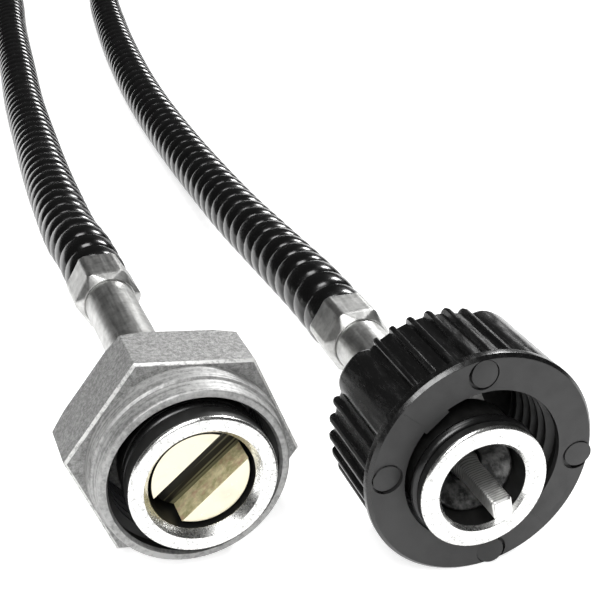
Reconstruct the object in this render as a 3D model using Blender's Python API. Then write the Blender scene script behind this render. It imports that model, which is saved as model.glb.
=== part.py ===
"""A ribbed flexible drive cable with a union fitting on each end.

A wound steel core turns inside the cable and carries rotation from one end to the other. One end has a
cast hexagon nut and a slotted driver, the other a moulded grip nut and a square tip. Metres, +Z up. The
cable lies on the floor at z = 0, both ends face -Y, and the origin is under the middle of the two fittings.
"""
import math

import bmesh
import bpy
import numpy as np
from mathutils import Vector

# Clearances and facets
GAP = 0.0003
END_FLOAT = 0.0005
WELD = 0.000001
LARGE_SIDES = 32
SMALL_SIDES = 24
TIP_SIDES = 16
SEAL_SIDES = 8
SHARP_ANGLE = math.radians(35)

# Cable, from the core outwards. Radii are to the corners of the faceted sections.
CORE_RADIUS = 0.00155
CONDUIT_WALL = 0.00035
COVER_WALL = 0.0009
RIB_HEIGHT = 0.0005
RIB_COUNT = 200
PLAIN_STEP = 0.010
CONDUIT_BORE_RADIUS = CORE_RADIUS + GAP
CONDUIT_RADIUS = CONDUIT_BORE_RADIUS + CONDUIT_WALL
COVER_BORE_RADIUS = CONDUIT_RADIUS + GAP
COVER_VALLEY_RADIUS = COVER_BORE_RADIUS + COVER_WALL
COVER_CREST_RADIUS = COVER_VALLEY_RADIUS + RIB_HEIGHT

# Bare tube and pressed hexagon sleeve behind each nut. Places along an end are counted backwards from its
# ferrule's front face.
TUBE_WALL = 0.0006
SLEEVE_WALL = 0.0003
SLEEVE_EDGE = 0.0004
SLEEVE_SOCKET_DEPTH = 0.002
HEX_SLEEVE_FRONT = 0.0418
HEX_SLEEVE_LENGTH = 0.007
GRIP_SLEEVE_FRONT = 0.031
GRIP_SLEEVE_LENGTH = 0.006
TUBE_BORE_RADIUS = CONDUIT_RADIUS + GAP
TUBE_RADIUS = TUBE_BORE_RADIUS + TUBE_WALL
TUBE_SOCKET_RADIUS = TUBE_RADIUS + GAP
SLEEVE_ACROSS_FLATS = 2 * (TUBE_SOCKET_RADIUS + SLEEVE_WALL)

# Ferrule with the slotted driver
FERRULE_EDGE = 0.0003
HEX_CHAMBER_RADIUS = 0.00535
HEX_CHAMBER_DEPTH = 0.006
HEX_FERRULE_RIM = 0.00205
HEX_FERRULE_FLANGE = 0.0022
HEX_FERRULE_COLLAR_STEP = 0.0002
HEX_FERRULE_COLLAR_OVERHANG = 0.0002
HEX_FERRULE_WEB = 0.0004
HEX_FERRULE_HUB_WALL = 0.0012
HEX_FERRULE_HUB_LENGTH = 0.0012
HEX_SEAL_THICKNESS = 0.0011
HEX_FERRULE_RADIUS = HEX_CHAMBER_RADIUS + HEX_FERRULE_RIM
HEX_FERRULE_BACK = HEX_CHAMBER_DEPTH + HEX_FERRULE_WEB + HEX_FERRULE_HUB_LENGTH
DRIVER_RECESS = 0.0013
DRIVER_RADIAL_PLAY = 0.0004
DRIVER_SLOT_WIDTH = 0.0042
DRIVER_SLOT_FLOOR = 0.0005
DRIVER_SLOT_TURN = math.radians(40)
THRUST_WASHER_THICKNESS = 0.0005
SHANK_PLAY = 0.0004
SHANK_WALL = 0.0006
SHANK_LENGTH = 0.0086
SHANK_SOCKET_DEPTH = 0.0055
SHANK_RADIUS = TUBE_BORE_RADIUS - SHANK_PLAY
DRIVER_HEAD_BACK = HEX_CHAMBER_DEPTH - THRUST_WASHER_THICKNESS - 2 * GAP
SHANK_BACK = DRIVER_HEAD_BACK + SHANK_LENGTH

# Screw thread of both nuts
THREAD_CLEARANCE = 0.0008
THREAD_DEPTH = 0.0008
THREAD_PITCH = 0.0015
THREAD_MINOR_RADIUS = HEX_FERRULE_RADIUS + THREAD_CLEARANCE
THREAD_MAJOR_RADIUS = THREAD_MINOR_RADIUS + THREAD_DEPTH

# Ferrule with the square tip
GRIP_FERRULE_CLEARANCE = 0.00155
GRIP_FERRULE_RIM = 0.00215
GRIP_FERRULE_FLANGE = 0.0012
GRIP_FERRULE_COLLAR_STEP = 0.00045
GRIP_FERRULE_COLLAR_OVERHANG = 0.0006
GRIP_FERRULE_WEB = 0.0005
GRIP_FERRULE_HUB_WALL = 0.0010
GRIP_FERRULE_HUB_LENGTH = 0.0017
GRIP_CHAMBER_DEPTH = 0.006
GRIP_SEAL_THICKNESS = 0.0012
GRIP_FERRULE_RADIUS = THREAD_MINOR_RADIUS - GRIP_FERRULE_CLEARANCE
GRIP_CHAMBER_RADIUS = GRIP_FERRULE_RADIUS - GRIP_FERRULE_RIM
GRIP_FERRULE_BACK = GRIP_CHAMBER_DEPTH + GRIP_FERRULE_WEB + GRIP_FERRULE_HUB_LENGTH
BUSH_FRONT = 0.0026
BUSH_CONE_DEPTH = 0.0018
STOP_COLLAR_LENGTH = 0.002
STOP_COLLAR_FRONT = GRIP_FERRULE_BACK + END_FLOAT + GAP
TIP_SQUARE = 0.0020
TIP_PROJECTION = 0.0035
TIP_SQUARE_LENGTH = 0.0062
TIP_TAPER = 0.002
TIP_EDGE = 0.0004
TIP_TURN = math.radians(12)

# Slip washer in each nut
SLIP_WASHER_THICKNESS = 0.0005
SLIP_WASHER_WIDTH = 0.0029

# Hexagon nut
HEX_NUT_WALL = 0.0015
HEX_NUT_FRONT = 0.0023
HEX_NUT_WEB = 0.0014
HEX_NUT_FORWARD_TRAVEL = 0.0031
HEX_NUT_COLLAR_WALL = 0.00075
HEX_NUT_COLLAR_LENGTH = 0.0031
HEX_NUT_CHAMFER_ANGLE = math.radians(30)
HEX_NUT_SIDE_PLAY = 0.0002
HEX_NUT_DROP = 0.0005
HEX_NUT_TURN = math.radians(-8)
HEX_ACROSS_FLATS = 2 * (THREAD_MAJOR_RADIUS + HEX_NUT_WALL)
HEX_CORNER_RADIUS = HEX_ACROSS_FLATS / math.sqrt(3)
HEX_NUT_REACH = HEX_CORNER_RADIUS * math.cos(HEX_NUT_TURN)
HEX_AXIS_HEIGHT = HEX_CORNER_RADIUS * math.cos(math.radians(30) - abs(HEX_NUT_TURN))
HEX_NUT_BACK = (HEX_FERRULE_BACK + HEX_NUT_FORWARD_TRAVEL + SLIP_WASHER_THICKNESS + 2 * GAP + HEX_NUT_WEB)

# Grip nut
GRIP_NUT_WALL = 0.0031
GRIP_FLANGE_LENGTH = 0.0013
GRIP_FLANGE_EDGE = 0.0004
GRIP_RIDGE_HEIGHT = 0.0006
GRIP_SHOULDER = 0.0004
GRIP_NUT_FRONT = 0.0026
GRIP_NUT_WEB = 0.0018
GRIP_NUT_FORWARD_TRAVEL = 0.0037
GRIP_NUT_SIDE_PLAY = 0.00105
GRIP_NUT_LIFT = 0.00065
GRIP_LOBES = 4
GRIP_LOBE_TURN = math.radians(55)
GRIP_LOBE_ANGLE = math.radians(28)
GRIP_LOBE_STEPS = 3
GRIP_LOBE_ROUNDING = 3
GRIP_RIDGES_BETWEEN_LOBES = 6
GRIP_RIDGE_SHARE = 0.42
GRIP_FLANGE_RADIUS = THREAD_MAJOR_RADIUS + GRIP_NUT_WALL
GRIP_NUT_BACK = (GRIP_FERRULE_BACK + GRIP_NUT_FORWARD_TRAVEL + SLIP_WASHER_THICKNESS + 2 * GAP + GRIP_NUT_WEB)

# How the two ends lie beside each other
NUT_GAP = 0.0022
GRIP_END_LEAD = 0.0091

# Places of the two ends, which centre the fittings on the origin
PAIR_WIDTH = 2 * HEX_NUT_REACH + NUT_GAP + 2 * GRIP_FLANGE_RADIUS
PAIR_LENGTH = TIP_PROJECTION + GRIP_END_LEAD + HEX_SLEEVE_FRONT + HEX_SLEEVE_LENGTH
HEX_NUT_X = HEX_NUT_REACH - PAIR_WIDTH / 2
GRIP_NUT_X = PAIR_WIDTH / 2 - GRIP_FLANGE_RADIUS
GRIP_FACE_Y = TIP_PROJECTION - PAIR_LENGTH / 2
HEX_FACE_Y = GRIP_FACE_Y + GRIP_END_LEAD
HEX_FACE = Vector((HEX_NUT_X + HEX_NUT_SIDE_PLAY, HEX_FACE_Y, HEX_AXIS_HEIGHT + HEX_NUT_DROP))
GRIP_FACE = Vector((GRIP_NUT_X - GRIP_NUT_SIDE_PLAY, GRIP_FACE_Y, GRIP_FLANGE_RADIUS - GRIP_NUT_LIFT))
HEX_CABLE_END = HEX_FACE + Vector((0, HEX_SLEEVE_FRONT + HEX_SLEEVE_LENGTH, 0))
GRIP_CABLE_END = GRIP_FACE + Vector((0, GRIP_SLEEVE_FRONT + GRIP_SLEEVE_LENGTH, 0))

# Where the cable lies between its two straight ends, in millimetres: x, y and its lift off the floor. Its
# cover is split at the last point of the first two lists.
MILLIMETRE = 0.001
STRAIGHT_END = 0.009
SAMPLES_PER_SPAN = 40
NEIGHBOUR_LENGTH = 0.030
HEX_SIDE_ROUTE = (
    (-13.1, 48, 6.9), (-12.5, 62, 5.9), (-11.2, 82, 4.2), (-9.4, 105, 2.6), (-7.3, 131, 1.2),
    (-4.3, 160, 0.4), (-0.4, 197, 0), (3.8, 230, 0),
)
LOOP_ROUTE = (
    (5.2, 249, 0), (3, 267, 0), (-3, 283.5, 0), (-9.2, 298.5, 0), (-12.4, 314, 0), (-11.6, 331, 0),
    (-3.6, 346.5, 0), (10, 357.3, 0), (27, 361, 0), (44, 357.3, 0), (57.6, 346.5, 0), (65.6, 331, 0),
    (66.4, 314, 0), (61.5, 297, 0), (53, 280, 0), (44, 263, 0), (36.3, 246, 0),
)
GRIP_SIDE_ROUTE = (
    (29.6, 229, 0), (23.4, 191, 0), (18.9, 152, 0.1), (16.6, 125, 0.5), (15.2, 100, 1.2), (14.2, 78, 2.3),
    (13.2, 55, 4.0), (12.6, 37, 5.8),
)


def finish(name, color, roughness, metallic):
    """One material with a plain colour."""
    material = bpy.data.materials.new(name)
    material.use_nodes = True
    shader = material.node_tree.nodes["Principled BSDF"]
    shader.inputs["Base Color"].default_value = (*color, 1)
    shader.inputs["Roughness"].default_value = roughness
    shader.inputs["Metallic"].default_value = metallic
    return material


def put(name, bm, parent, material, place=(0, 0, 0)):
    """Turns a finished bmesh into a named object under its end's empty."""
    bmesh.ops.recalc_face_normals(bm, faces=bm.faces)
    mesh = bpy.data.meshes.new(name)
    bm.to_mesh(mesh)
    bm.free()
    mesh.shade_smooth()
    mesh.set_sharp_from_angle(angle=SHARP_ANGLE)
    piece = bpy.data.objects.new(name, mesh)
    bpy.context.scene.collection.objects.link(piece)
    piece.location = place
    piece.parent = parent
    if material:
        mesh.materials.append(material)
    return piece


def turned(profile, sides=LARGE_SIDES):
    """Spins a closed outline of (radius, distance behind the face) points about the Y axis."""
    bm = bmesh.new()
    points = [bm.verts.new((radius, back, 0)) for radius, back in profile]
    for first, second in zip(points, points[1:] + points[:1]):
        if first.co.x > 0 or second.co.x > 0:
            bm.edges.new((first, second))
    bmesh.ops.spin(bm, geom=bm.verts[:] + bm.edges[:], cent=(0, 0, 0), axis=(0, 1, 0),
                   angle=2 * math.pi, steps=sides, use_merge=True)
    bmesh.ops.remove_doubles(bm, verts=bm.verts, dist=WELD)
    return bm


def ring(outer, inner, front, back):
    """The outline of a plain washer or tube."""
    return [(outer, front), (outer, back), (inner, back), (inner, front)]


def prism(outline, front, back):
    """Extrudes a closed outline of (x, z) points along Y."""
    bm = bmesh.new()
    face = bm.faces.new([bm.verts.new((x, front, z)) for x, z in outline])
    moved = bmesh.ops.extrude_face_region(bm, geom=[face])["geom"]
    corners = [v for v in moved if isinstance(v, bmesh.types.BMVert)]
    bmesh.ops.translate(bm, verts=corners, vec=(0, back - front, 0))
    return bm


def hexagon(across_flats, turn=0):
    """Corners of a hexagon with a flat on top, turned about its middle."""
    radius = across_flats / math.sqrt(3)
    corners = [math.radians(60 * k) + turn for k in range(6)]
    return [(radius * math.cos(a), radius * math.sin(a)) for a in corners]


def box(size, front, back, turn):
    """A bar across the axis, turned about it."""
    half = size / 2
    reach = HEX_FERRULE_RADIUS
    corners = [(-reach, -half), (reach, -half), (reach, half), (-reach, half)]
    cos, sin = math.cos(turn), math.sin(turn)
    return prism([(x * cos - z * sin, x * sin + z * cos) for x, z in corners], front, back)


def combine(piece, operation, tool):
    """Adds a Boolean and marks its tool as a guide."""
    tool.hide_render = True
    tool.display_type = "WIRE"
    cut = piece.modifiers.new(tool.name, "BOOLEAN")
    cut.operation = operation
    cut.object = tool
    return piece


def threaded_bore(front, web_front, back, hole_radius):
    """The hollow of a nut: a bevelled mouth, thread grooves, a plain wall and the hole in its rear web."""
    mouth, past = front - END_FLOAT, back + END_FLOAT
    grooves = int((web_front - front) / THREAD_PITCH) - 1
    profile = [(THREAD_MAJOR_RADIUS, mouth), (THREAD_MAJOR_RADIUS, front)]
    for k in range(grooves):
        start = front + THREAD_PITCH * (k + 0.5)
        profile += [(THREAD_MINOR_RADIUS, start), (THREAD_MAJOR_RADIUS, start + THREAD_PITCH / 2)]
    plain = front + THREAD_PITCH * (grooves + 0.5)
    profile += [(THREAD_MINOR_RADIUS, plain), (THREAD_MINOR_RADIUS, web_front), (hole_radius, web_front),
                (hole_radius, past), (0, past), (0, mouth)]
    return turned(profile)


def seal_profile(centre_radius, centre, thickness):
    """A round section at a radius and a distance behind the face."""
    half = thickness / 2
    turns = [2 * math.pi * k / SEAL_SIDES for k in range(SEAL_SIDES)]
    return [(centre_radius + half * math.cos(a), centre + half * math.sin(a)) for a in turns]


def ferrule_outside(radius, flange, seal_thickness, collar_step, collar_back, hub_wall, back):
    """The outer half of a turned ferrule's outline: flange, seal groove, collar and hub."""
    groove = radius - seal_thickness - GAP
    groove_back = flange + seal_thickness + 2 * GAP
    collar = radius - collar_step
    hub = TUBE_SOCKET_RADIUS + hub_wall
    return [(radius - FERRULE_EDGE, 0), (radius, FERRULE_EDGE), (radius, flange), (groove, flange),
            (groove, groove_back), (collar, groove_back), (collar, collar_back), (hub, collar_back),
            (hub, back)]


def ferrule_inside(chamber, depth, web, web_hole, back):
    """The inner half of a turned ferrule's outline: tube socket, web and chamber."""
    socket = depth + web
    return [(TUBE_SOCKET_RADIUS, back), (TUBE_SOCKET_RADIUS, socket), (web_hole, socket), (web_hole, depth),
            (chamber, depth), (chamber, FERRULE_EDGE), (chamber + FERRULE_EDGE, 0)]


def add_ferrule_and_seal(prefix, end, outside, inside, radius, flange, seal_thickness):
    """A ferrule and the rubber ring in its groove."""
    put(f"{prefix}_end_ferrule", turned(outside + inside), end, PLATED_STEEL)
    seal = seal_profile(radius - seal_thickness / 2, flange + GAP + seal_thickness / 2, seal_thickness)
    put(f"{prefix}_end_seal_ring", turned(seal, SMALL_SIDES), end, RUBBER)


def add_tube_and_sleeve(prefix, end, tube_front, sleeve_front, sleeve_length):
    """The bare tube behind a ferrule, and the pressed hexagon sleeve that holds the cable to it."""
    tube_back = sleeve_front + SLEEVE_SOCKET_DEPTH - GAP
    tube = ring(TUBE_RADIUS, TUBE_BORE_RADIUS, tube_front, tube_back)
    put(f"{prefix}_end_tube", turned(tube, SMALL_SIDES), end, DULL_STEEL)
    sleeve_back = sleeve_front + sleeve_length
    bm = prism(hexagon(SLEEVE_ACROSS_FLATS), sleeve_front, sleeve_back)
    lengthwise = [e for e in bm.edges if abs(e.verts[0].co.y - e.verts[1].co.y) > GAP]
    bmesh.ops.bevel(bm, geom=lengthwise, offset=SLEEVE_EDGE, segments=1, affect="EDGES")
    sleeve = put(f"{prefix}_end_crimp_sleeve", bm, end, DULL_STEEL)
    socket_back = sleeve_front + SLEEVE_SOCKET_DEPTH
    hollow = [(TUBE_SOCKET_RADIUS, sleeve_front - GAP), (TUBE_SOCKET_RADIUS, socket_back),
              (TUBE_BORE_RADIUS, socket_back), (TUBE_BORE_RADIUS, sleeve_back + GAP),
              (0, sleeve_back + GAP), (0, sleeve_front - GAP)]
    combine(sleeve, "DIFFERENCE", put(f"{prefix}_sleeve_cutter", turned(hollow, SMALL_SIDES), end, None))


def add_slip_washer(prefix, end, web_front):
    """The washer that a nut's rear web pushes against its ferrule."""
    back = web_front - GAP
    outer = TUBE_SOCKET_RADIUS + SLIP_WASHER_WIDTH
    profile = ring(outer, TUBE_SOCKET_RADIUS, back - SLIP_WASHER_THICKNESS, back)
    put(f"{prefix}_nut_slip_washer", turned(profile, SMALL_SIDES), end, DULL_STEEL)


def add_hex_nut(end):
    """The cast nut: a hexagon trimmed by cones, with a round collar in front and a threaded hollow."""
    place = (-HEX_NUT_SIDE_PLAY, 0, -HEX_NUT_DROP)
    block = prism(hexagon(HEX_ACROSS_FLATS, HEX_NUT_TURN), HEX_NUT_FRONT, HEX_NUT_BACK)
    nut = put("hex_nut", block, end, CAST_ZINC, place)
    slope = math.tan(HEX_NUT_CHAMFER_ANGLE)
    collar = THREAD_MAJOR_RADIUS + HEX_NUT_COLLAR_WALL
    cone_front = HEX_NUT_FRONT + HEX_NUT_COLLAR_LENGTH
    past = HEX_CORNER_RADIUS + END_FLOAT
    rear = HEX_ACROSS_FLATS / 2 + END_FLOAT
    envelope = [(0, HEX_NUT_FRONT - END_FLOAT), (collar, HEX_NUT_FRONT - END_FLOAT), (collar, cone_front),
                (past, cone_front + (past - collar) * slope), (past, HEX_NUT_BACK - (past - rear) * slope),
                (rear - END_FLOAT, HEX_NUT_BACK + END_FLOAT * slope), (0, HEX_NUT_BACK + END_FLOAT * slope)]
    combine(nut, "INTERSECT", put("hex_nut_envelope", turned(envelope), end, None, place))
    web_front = HEX_NUT_BACK - HEX_NUT_WEB
    hole = TUBE_RADIUS + math.hypot(HEX_NUT_SIDE_PLAY, HEX_NUT_DROP) + GAP
    bore = threaded_bore(HEX_NUT_FRONT, web_front, HEX_NUT_BACK, hole)
    combine(nut, "DIFFERENCE", put("hex_nut_bore", bore, end, None, place))


def grip_outline():
    """The ridged outline of the grip: groups of fine ridges between broad smooth lobes."""
    crest = GRIP_FLANGE_RADIUS - GRIP_SHOULDER
    valley = crest - GRIP_RIDGE_HEIGHT
    sector = 2 * math.pi / GRIP_LOBES
    pitch = (sector - GRIP_LOBE_ANGLE) / GRIP_RIDGES_BETWEEN_LOBES
    half = pitch * GRIP_RIDGE_SHARE / 2
    shares = [k / GRIP_LOBE_STEPS for k in range(-GRIP_LOBE_STEPS, GRIP_LOBE_STEPS + 1)]
    outline = []
    for lobe in range(GRIP_LOBES):
        middle = GRIP_LOBE_TURN + lobe * sector
        for share in shares:
            radius = GRIP_FLANGE_RADIUS - (GRIP_FLANGE_RADIUS - valley) * abs(share) ** GRIP_LOBE_ROUNDING
            outline.append((radius, middle + GRIP_LOBE_ANGLE / 2 * share))
        first = middle + GRIP_LOBE_ANGLE / 2 + pitch / 2
        for ridge in range(GRIP_RIDGES_BETWEEN_LOBES):
            at = first + ridge * pitch
            outline += [(valley, at - half), (crest, at - half / 2),
                        (crest, at + half / 2), (valley, at + half)]
    return [(radius * math.cos(a), radius * math.sin(a)) for radius, a in outline]


def add_grip_nut(end):
    """The moulded nut: a ridged grip with a thin round flange in front and a threaded hollow."""
    place = (GRIP_NUT_SIDE_PLAY, 0, GRIP_NUT_LIFT)
    flange_back = GRIP_NUT_FRONT + GRIP_FLANGE_LENGTH
    grip = prism(grip_outline(), GRIP_NUT_FRONT + GAP, GRIP_NUT_BACK)
    nut = put("knurled_nut", grip, end, MOULDED_PLASTIC, place)
    flange = [(0, GRIP_NUT_FRONT), (GRIP_FLANGE_RADIUS - GRIP_FLANGE_EDGE, GRIP_NUT_FRONT),
              (GRIP_FLANGE_RADIUS, GRIP_NUT_FRONT + GRIP_FLANGE_EDGE), (GRIP_FLANGE_RADIUS, flange_back),
              (0, flange_back)]
    combine(nut, "UNION", put("knurled_nut_flange", turned(flange), end, None, place))
    web_front = GRIP_NUT_BACK - GRIP_NUT_WEB
    hole = TUBE_RADIUS + math.hypot(GRIP_NUT_SIDE_PLAY, GRIP_NUT_LIFT) + GAP
    bore = threaded_bore(GRIP_NUT_FRONT, web_front, GRIP_NUT_BACK, hole)
    combine(nut, "DIFFERENCE", put("knurled_nut_bore", bore, end, None, place))


def add_driver(end):
    """The slotted driver, the washer behind it and the core's end in its tubular shank."""
    head_radius = HEX_CHAMBER_RADIUS - DRIVER_RADIAL_PLAY
    socket_front = SHANK_BACK - SHANK_SOCKET_DEPTH
    socket_radius = SHANK_RADIUS - SHANK_WALL
    profile = [(0, DRIVER_RECESS), (head_radius, DRIVER_RECESS), (head_radius, DRIVER_HEAD_BACK),
               (SHANK_RADIUS, DRIVER_HEAD_BACK), (SHANK_RADIUS, SHANK_BACK), (socket_radius, SHANK_BACK),
               (socket_radius, socket_front), (0, socket_front)]
    driver = put("slotted_driver", turned(profile), end, CHROMATED_ZINC)
    slot = box(DRIVER_SLOT_WIDTH, DRIVER_RECESS - GAP, DRIVER_HEAD_BACK - DRIVER_SLOT_FLOOR, DRIVER_SLOT_TURN)
    combine(driver, "DIFFERENCE", put("driver_slot_cutter", slot, end, None))
    washer = ring(head_radius, SHANK_RADIUS + GAP, DRIVER_HEAD_BACK + GAP, HEX_CHAMBER_DEPTH - GAP)
    put("driver_thrust_washer", turned(washer, SMALL_SIDES), end, BRONZE)
    neck = socket_radius - GAP
    shoulder = SHANK_BACK + GAP
    core_back = HEX_SLEEVE_FRONT + HEX_SLEEVE_LENGTH - GAP
    core = [(0, socket_front + GAP), (neck, socket_front + GAP), (neck, shoulder), (CORE_RADIUS, shoulder),
            (CORE_RADIUS, core_back), (0, core_back)]
    put("core_hex_end", turned(core, SMALL_SIDES), end, WOUND_STEEL)


def tip_section(size, square):
    """Points round the square tip or the round core behind it, as many on each."""
    points = []
    for k in range(TIP_SIDES):
        a = 2 * math.pi * k / TIP_SIDES
        reach = size / max(abs(math.cos(a)), abs(math.sin(a))) if square else size
        points.append((reach * math.cos(a + TIP_TURN), reach * math.sin(a + TIP_TURN)))
    return points


def add_square_tip(end):
    """The core's other end, swaged square where it stands out, with its bush and stop collar."""
    half = TIP_SQUARE / 2
    square_back = TIP_SQUARE_LENGTH - TIP_PROJECTION
    core_back = GRIP_SLEEVE_FRONT + GRIP_SLEEVE_LENGTH - GAP
    sections = [
        (-TIP_PROJECTION, tip_section(half - TIP_EDGE, True)),
        (-TIP_PROJECTION + TIP_EDGE, tip_section(half, True)),
        (square_back, tip_section(half, True)),
        (square_back + TIP_TAPER, tip_section(CORE_RADIUS, False)),
        (core_back, tip_section(CORE_RADIUS, False)),
    ]
    bm = bmesh.new()
    rows = [[bm.verts.new((x, back, z)) for x, z in section] for back, section in sections]
    bm.faces.new(rows[0])
    bm.faces.new(rows[-1])
    for before, after in zip(rows, rows[1:]):
        for k in range(TIP_SIDES):
            bm.faces.new((before[k - 1], before[k], after[k], after[k - 1]))
    put("core_square_tip", bm, end, WOUND_STEEL)
    bush_radius = GRIP_CHAMBER_RADIUS - GAP
    bush_bore = CORE_RADIUS + GAP
    bush_back = GRIP_CHAMBER_DEPTH - GAP
    bush = [(bush_radius, BUSH_FRONT), (bush_radius, bush_back), (bush_bore, bush_back),
            (bush_bore, BUSH_FRONT + BUSH_CONE_DEPTH), (bush_radius - GAP, BUSH_FRONT)]
    put("core_bush", turned(bush, SMALL_SIDES), end, DULL_STEEL)
    collar_back = STOP_COLLAR_FRONT + STOP_COLLAR_LENGTH
    collar = ring(CONDUIT_RADIUS, CORE_RADIUS + GAP, STOP_COLLAR_FRONT, collar_back)
    put("core_stop_collar", turned(collar, SMALL_SIDES), end, DULL_STEEL)


def smooth_route(hex_lead, grip_lead):
    """A dense smooth curve through the route's points, led straight on into each fitting."""
    along = np.array((0, 1, 0))
    start, stop = np.array(HEX_CABLE_END), np.array(GRIP_CABLE_END)
    lying = np.array((0, 0, COVER_CREST_RADIUS))
    middle = [lying + np.array(p) * MILLIMETRE for p in HEX_SIDE_ROUTE + LOOP_ROUTE + GRIP_SIDE_ROUTE]
    knots = [start, start + along * STRAIGHT_END, *middle, stop + along * STRAIGHT_END, stop]
    outer = [start - along * STRAIGHT_END, *knots, stop - along * STRAIGHT_END]
    curve = [start - along * hex_lead]
    for p0, p1, p2, p3 in zip(outer, outer[1:], outer[2:], outer[3:]):
        d1, d2, d3 = (math.sqrt(np.linalg.norm(b - a)) for a, b in ((p0, p1), (p1, p2), (p2, p3)))
        t1 = (p1 - p0) / d1 - (p2 - p0) / (d1 + d2) + (p2 - p1) / d2
        t2 = (p2 - p1) / d2 - (p3 - p1) / (d2 + d3) + (p3 - p2) / d3
        for s in np.linspace(0, 1, SAMPLES_PER_SPAN, endpoint=False):
            h = (2 * s**3 - 3 * s**2 + 1, s**3 - 2 * s**2 + s, 3 * s**2 - 2 * s**3, s**3 - s**2)
            curve.append(h[0] * p1 + h[1] * t1 * d2 + h[2] * p2 + h[3] * t2 * d2)
    curve = np.array([*curve, stop, stop - along * grip_lead])
    curve[:, 2] = np.maximum(curve[:, 2], COVER_CREST_RADIUS)
    return curve


def lengths_of(curve):
    """Distance along a curve at each of its points."""
    return np.concatenate([[0], np.cumsum(np.linalg.norm(np.diff(curve, axis=0), axis=1))])


def at_lengths(curve, places):
    """Points of a curve at the given distances along it."""
    lengths = lengths_of(curve)
    return np.stack([np.interp(places, lengths, curve[:, k]) for k in range(3)], axis=1)


def tube(name, points, radii, material):
    """A round tube along points, from a bevelled curve with filled ends."""
    curve = bpy.data.curves.new(name, "CURVE")
    curve.dimensions = "3D"
    curve.twist_mode = "Z_UP"
    curve.bevel_depth = 1
    curve.bevel_resolution = 2
    curve.use_fill_caps = True
    spline = curve.splines.new("POLY")
    spline.points.add(len(points) - 1)
    for point, place, radius in zip(spline.points, points, radii):
        point.co = (*place, 1)
        point.radius = radius
    guide = bpy.data.objects.new(f"{name}_guide", curve)
    bpy.context.scene.collection.objects.link(guide)
    bpy.context.view_layer.update()
    solid = bpy.data.meshes.new_from_object(guide.evaluated_get(bpy.context.evaluated_depsgraph_get()))
    bpy.data.objects.remove(guide)
    bm = bmesh.new()
    bm.from_mesh(solid)
    bpy.data.meshes.remove(solid)
    bmesh.ops.remove_doubles(bm, verts=bm.verts, dist=WELD)
    return put(name, bm, None, material)


def plain_places(start, stop):
    """Places along the cable for a plain tube, on steps all tubes share, so that nested ones bend alike."""
    steps = np.arange(0, stop, PLAIN_STEP)
    inner = steps[(steps > start + PLAIN_STEP / 4) & (steps < stop - PLAIN_STEP / 4)]
    return np.concatenate([[start], inner, [stop]])


def drill(piece, curve, start, stop, radius):
    """Cuts a plain bore along the cable, a little past both ends of the piece."""
    points = at_lengths(curve, plain_places(start, stop))
    for end, inner in ((0, 1), (-1, -2)):
        out = points[end] - points[inner]
        points[end] = points[end] + out / np.linalg.norm(out) * END_FLOAT
    combine(piece, "DIFFERENCE", tube(f"{piece.name}_bore", points, [radius] * len(points), None))


def least_gap(points, radii, apart):
    """Smallest clear distance between two stretches of cable that are not neighbours."""
    least = math.inf
    for k, place in enumerate(points):
        far = points[k + apart:]
        if len(far):
            reach = np.linalg.norm(far - place, axis=1) - radii[k] - np.array(radii[k + apart:])
            least = min(least, reach.min())
    return least


def add_cable():
    """The ribbed cover in three stretches, the wound conduit in it and the core in that."""
    hex_lead = HEX_SLEEVE_FRONT + HEX_SLEEVE_LENGTH - SHANK_BACK - 2 * END_FLOAT
    grip_lead = GRIP_SLEEVE_FRONT + GRIP_SLEEVE_LENGTH - STOP_COLLAR_FRONT - STOP_COLLAR_LENGTH - END_FLOAT
    curve = smooth_route(hex_lead, grip_lead)
    total = lengths_of(curve)[-1]
    first, last = hex_lead + GAP, total - grip_lead - GAP
    splits = [first]
    for route in (HEX_SIDE_ROUTE, LOOP_ROUTE):
        near = np.linalg.norm(curve[:, :2] - np.array(route[-1][:2]) * MILLIMETRE, axis=1).argmin()
        splits.append(lengths_of(curve)[near])
    splits.append(last)
    pitch = (last - first) / RIB_COUNT
    all_points, all_radii = [], []
    for k, name in enumerate(("casing_hex_side", "casing_loop", "casing_knurled_side")):
        start = splits[k] + (GAP / 2 if k else 0)
        stop = splits[k + 1] - (GAP / 2 if k < 2 else 0)
        ribs = max(1, round((stop - start) / pitch))
        places = np.linspace(start, stop, 2 * ribs + 1)
        radii = [COVER_VALLEY_RADIUS if n % 2 == 0 else COVER_CREST_RADIUS for n in range(len(places))]
        points = at_lengths(curve, places)
        drill(tube(name, points, radii, COVER_PLASTIC), curve, start, stop, COVER_BORE_RADIUS)
        all_points.append(points)
        all_radii += radii
    conduit_points = at_lengths(curve, plain_places(0, total))
    conduit = tube("casing_conduit", conduit_points, [CONDUIT_RADIUS] * len(conduit_points), DULL_STEEL)
    drill(conduit, curve, 0, total, CONDUIT_BORE_RADIUS)
    core_points = at_lengths(curve, plain_places(first, last))
    tube("core_middle", core_points, [CORE_RADIUS] * len(core_points), WOUND_STEEL)
    neighbours = 2 * round(NEIGHBOUR_LENGTH / pitch)
    gap = least_gap(np.concatenate(all_points), all_radii, neighbours)
    print(f"cover length {last - first:.4f} m, rib pitch {pitch / MILLIMETRE:.2f} mm,",
          f"least gap to itself {gap / MILLIMETRE:.1f} mm")


def empty(name, place):
    """A guide point that carries one end's pieces."""
    guide = bpy.data.objects.new(name, None)
    guide.location = place
    bpy.context.scene.collection.objects.link(guide)
    return guide


for leftover in list(bpy.data.objects):
    bpy.data.objects.remove(leftover)

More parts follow.
